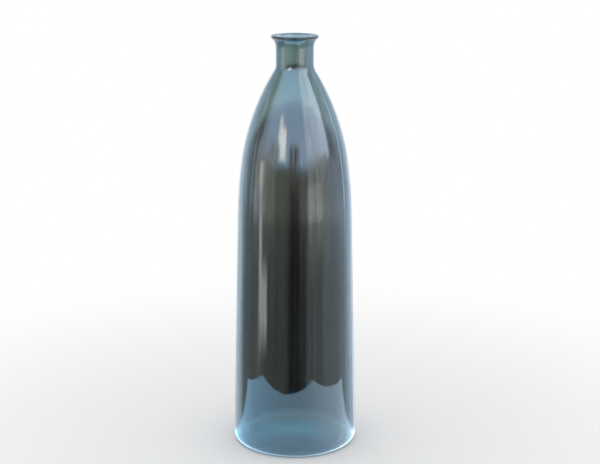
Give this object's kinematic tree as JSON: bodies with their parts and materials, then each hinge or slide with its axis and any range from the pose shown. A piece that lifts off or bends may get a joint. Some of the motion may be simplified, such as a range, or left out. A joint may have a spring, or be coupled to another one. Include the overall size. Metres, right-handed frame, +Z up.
{
  "type": "bottle vase",
  "caption": "Tall round bottle vase of thick smoky glass, with a gently tapering side, high sloping shoulders, a short neck and a flared, rounded lip.",
  "frame": {"origin": "centre of the base, on the plane that the bearing ring stands on", "axes": "+Z up along the bottle's axis, towards the mouth; the bottle is round, so X and Y are alike"},
  "size_m": [0.3011, 0.3012, 1],
  "materials": {
    "smoky_glass": "clear blue-grey recycled glass, fire-polished, with a glossy lustre"
  },
  "bodies": {
    "root": {"glass_bottle": "smoky_glass"}
  },
  "joints": []
}
